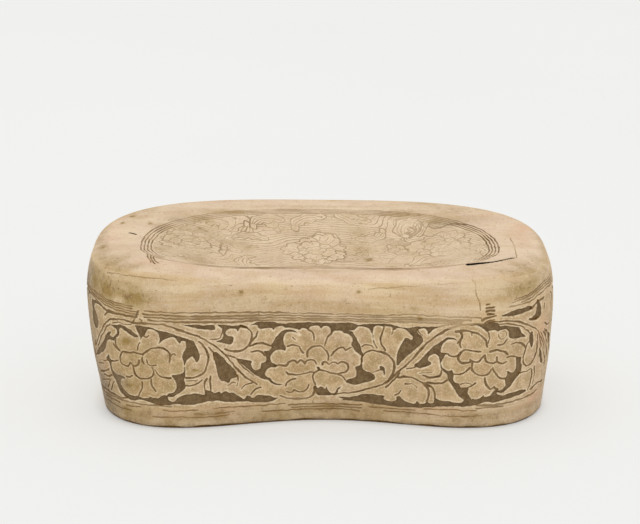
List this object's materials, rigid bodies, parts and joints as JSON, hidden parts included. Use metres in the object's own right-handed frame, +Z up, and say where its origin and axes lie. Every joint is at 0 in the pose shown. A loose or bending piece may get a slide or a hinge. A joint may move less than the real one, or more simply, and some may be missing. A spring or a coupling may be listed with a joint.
{
  "type": "ceramic pillow",
  "caption": "Bean-shaped hollow stoneware headrest with a dished, sloping top and a carved slip scroll of peonies around its wall.",
  "frame": {"origin": "centre of the bounding box in plan, on the plane the base rests on", "axes": "+X along the length toward the viewer's right, -Y toward the waisted front, +Z up out of the base"},
  "size_m": [0.3003, 0.1812, 0.1106],
  "materials": {
    "stoneware": "matt fired clay, dull brown where the slip is cut away",
    "slip": "thin matt slip, worn pale buff with tan stains"
  },
  "bodies": {
    "root": {"base_slab": "stoneware", "front_wall": "stoneware", "back_wall": "stoneware", "headrest_slab": "stoneware", "base_luting_coil": "stoneware", "headrest_luting_coil": "stoneware", "seam_coil_left": "stoneware", "seam_coil_right": "stoneware", "headrest_slip": "slip", "shoulder_slip_band": "slip", "foot_slip_band": "slip", "peony_relief_front_left": "slip", "leaf_relief_front_left": "slip", "peony_relief_front_middle": "slip", "leaf_relief_front_middle": "slip", "peony_relief_front_right": "slip", "leaf_relief_front_right": "slip", "peony_relief_end_right": "slip", "leaf_relief_end_right": "slip", "peony_relief_back_right": "slip", "leaf_relief_back_right": "slip", "peony_relief_back_middle": "slip", "leaf_relief_back_middle": "slip", "peony_relief_back_left": "slip", "leaf_relief_back_left": "slip", "peony_relief_end_left": "slip", "leaf_relief_end_left": "slip"}
  },
  "joints": []
}
